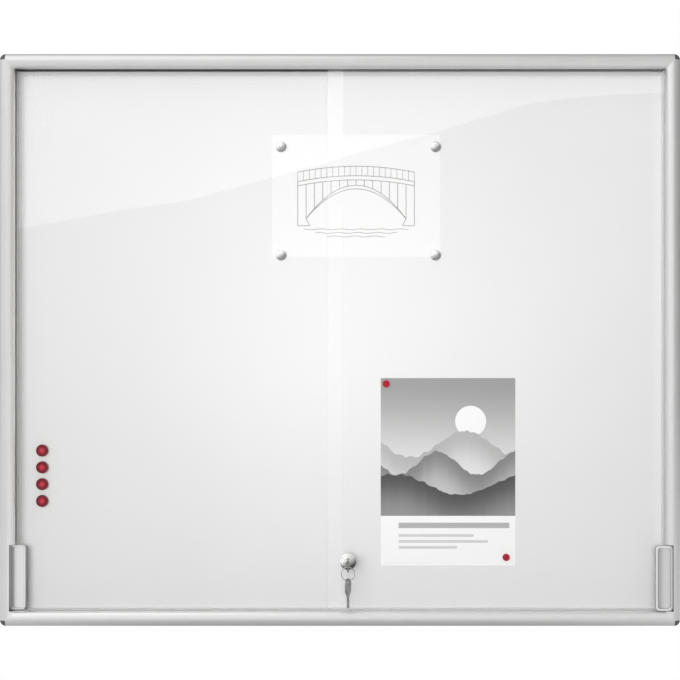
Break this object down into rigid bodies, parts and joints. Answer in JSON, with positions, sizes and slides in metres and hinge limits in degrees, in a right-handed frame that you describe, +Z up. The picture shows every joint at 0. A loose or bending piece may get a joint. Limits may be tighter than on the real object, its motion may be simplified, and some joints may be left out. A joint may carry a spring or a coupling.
{
  "type": "notice board display case",
  "caption": "Flat wall-hung notice case: silver aluminium frame, white magnetic panel, overlapping glass sliding doors with finger pulls and a keyed push lock.",
  "frame": {"origin": "centre of the four wall keyholes, on the wall plane behind the case", "axes": "+X to the viewer's right along the width, +Z up, +Y into the wall, so the glass faces -Y"},
  "size_m": [1.13, 0.1108, 0.95],
  "materials": {
    "frame_aluminium": "satin anodised, fine brushing along each length",
    "corner_cap_plastic": "fine matt grain",
    "corner_key_alloy": "as cast",
    "screw_steel": "zinc plated",
    "galvanised_sheet": "galvanised",
    "core_board": "raw fibreboard",
    "white_enamel": "smooth white enamel",
    "track_plastic": "extruded, satin",
    "guide_plastic": "extruded, satin",
    "seal_rubber": "matt",
    "drawing_paper": "plain paper with a pale line pattern",
    "poster_paper": "printed paper with a grey picture of hills",
    "door_glass": "clear float glass with ground edges",
    "shoe_nylon": "natural nylon",
    "pad_foam": "closed foam tape",
    "pull_aluminium": "satin anodised",
    "lock_chrome": "polished nickel plate",
    "gasket_rubber": "matt",
    "spring_steel": "bright wire",
    "plug_nickel": "machined, nickel plated",
    "key_steel": "nickel plated, tumbled",
    "ring_steel": "bright wire",
    "magnet_red": "moulded",
    "magnet_ferrite": "sintered",
    "magnet_silver": "satin nickel plate"
  },
  "bodies": {
    "case": {"frame_top": "frame_aluminium", "frame_bottom": "frame_aluminium", "frame_left": "frame_aluminium", "frame_right": "frame_aluminium", "corner_key_top_left": "corner_key_alloy", "corner_key_top_right": "corner_key_alloy", "corner_key_bottom_left": "corner_key_alloy", "corner_key_bottom_right": "corner_key_alloy", "corner_cap_top_left": "corner_cap_plastic", "corner_cap_top_right": "corner_cap_plastic", "corner_cap_bottom_left": "corner_cap_plastic", "corner_cap_bottom_right": "corner_cap_plastic", "corner_screws": "screw_steel", "rear_sheet": "galvanised_sheet", "panel_core": "core_board", "steel_face": "white_enamel", "top_track": "guide_plastic", "bottom_track": "track_plastic", "track_screws": "screw_steel", "left_seal": "seal_rubber", "right_seal": "seal_rubber", "left_door_stop": "seal_rubber", "right_door_stop": "seal_rubber", "drawing_sheet": "drawing_paper", "poster_sheet": "poster_paper"},
    "left_door": {"left_glass": "door_glass", "left_door_shoes": "shoe_nylon", "left_pull_pad": "pad_foam", "left_finger_pull": "pull_aluminium"},
    "right_door": {"right_glass": "door_glass", "right_door_shoes": "shoe_nylon", "right_pull_pad": "pad_foam", "right_finger_pull": "pull_aluminium", "lock_body": "lock_chrome", "lock_gasket": "gasket_rubber", "lock_washer": "gasket_rubber", "lock_nut": "lock_chrome", "lock_spring": "spring_steel"},
    "lock_barrel": {"lock_cylinder": "lock_chrome"},
    "key_plug": {"lock_plug": "plug_nickel"},
    "door_key": {"lock_key": "key_steel"},
    "split_ring": {"key_ring": "ring_steel"},
    "hanging_key": {"spare_key": "key_steel"},
    "loose_red_magnet_1": {"red_magnet_1": "magnet_red", "red_magnet_core_1": "magnet_ferrite"},
    "loose_red_magnet_2": {"red_magnet_2": "magnet_red", "red_magnet_core_2": "magnet_ferrite"},
    "loose_red_magnet_3": {"red_magnet_3": "magnet_red", "red_magnet_core_3": "magnet_ferrite"},
    "loose_red_magnet_4": {"red_magnet_4": "magnet_red", "red_magnet_core_4": "magnet_ferrite"},
    "loose_silver_magnet_1": {"silver_magnet_1": "magnet_silver"},
    "loose_silver_magnet_2": {"silver_magnet_2": "magnet_silver"},
    "loose_silver_magnet_3": {"silver_magnet_3": "magnet_silver"},
    "loose_silver_magnet_4": {"silver_magnet_4": "magnet_silver"},
    "loose_small_red_magnet_1": {"small_red_magnet_1": "magnet_red"},
    "loose_small_red_magnet_2": {"small_red_magnet_2": "magnet_red"}
  },
  "joints": [
    {"name": "left_door_slide", "type": "slide", "parent": "case", "child": "left_door", "axis": [1, 0, 0], "range_m": [0, 0.5]},
    {"name": "right_door_slide", "type": "slide", "parent": "case", "child": "right_door", "axis": [-1, 0, 0], "range_m": [0, 0.5]},
    {"name": "lock_push", "type": "slide", "parent": "right_door", "child": "lock_barrel", "axis": [0, -1, 0], "range_m": [-0.01, 0], "stiffness_N_per_m": 250, "springref_m": 0.008, "deforming": ["lock_spring"]},
    {"name": "key_turn", "type": "hinge", "parent": "lock_barrel", "child": "key_plug", "pos_m": [0.0132, -0.07, -0.3685], "axis": [0, 1, 0], "range_deg": [0, 90]},
    {"name": "key_withdraw", "type": "slide", "parent": "key_plug", "child": "door_key", "axis": [0, -1, 0], "range_m": [0, 0.022]},
    {"name": "ring_swing", "type": "hinge", "parent": "door_key", "child": "split_ring", "pos_m": [0.0132, -0.0991, -0.3714], "axis": [-1, 0, 0], "range_deg": [-15, 60]},
    {"name": "spare_key_swing", "type": "hinge", "parent": "split_ring", "child": "hanging_key", "pos_m": [0.0132, -0.0991, -0.3934], "axis": [-1, 0, 0], "range_deg": [-15, 45]},
    {"name": "red_magnet_1_pull_off", "type": "slide", "parent": "case", "child": "loose_red_magnet_1", "axis": [0, -1, 0], "range_m": [0, 0.007]},
    {"name": "red_magnet_2_pull_off", "type": "slide", "parent": "case", "child": "loose_red_magnet_2", "axis": [0, -1, 0], "range_m": [0, 0.007]},
    {"name": "red_magnet_3_pull_off", "type": "slide", "parent": "case", "child": "loose_red_magnet_3", "axis": [0, -1, 0], "range_m": [0, 0.007]},
    {"name": "red_magnet_4_pull_off", "type": "slide", "parent": "case", "child": "loose_red_magnet_4", "axis": [0, -1, 0], "range_m": [0, 0.007]},
    {"name": "silver_magnet_1_pull_off", "type": "slide", "parent": "case", "child": "loose_silver_magnet_1", "axis": [0, -1, 0], "range_m": [0, 0.007]},
    {"name": "silver_magnet_2_pull_off", "type": "slide", "parent": "case", "child": "loose_silver_magnet_2", "axis": [0, -1, 0], "range_m": [0, 0.007]},
    {"name": "silver_magnet_3_pull_off", "type": "slide", "parent": "case", "child": "loose_silver_magnet_3", "axis": [0, -1, 0], "range_m": [0, 0.007]},
    {"name": "silver_magnet_4_pull_off", "type": "slide", "parent": "case", "child": "loose_silver_magnet_4", "axis": [0, -1, 0], "range_m": [0, 0.007]},
    {"name": "small_red_magnet_1_pull_off", "type": "slide", "parent": "case", "child": "loose_small_red_magnet_1", "axis": [0, -1, 0], "range_m": [0, 0.007]},
    {"name": "small_red_magnet_2_pull_off", "type": "slide", "parent": "case", "child": "loose_small_red_magnet_2", "axis": [0, -1, 0], "range_m": [0, 0.007]}
  ]
}
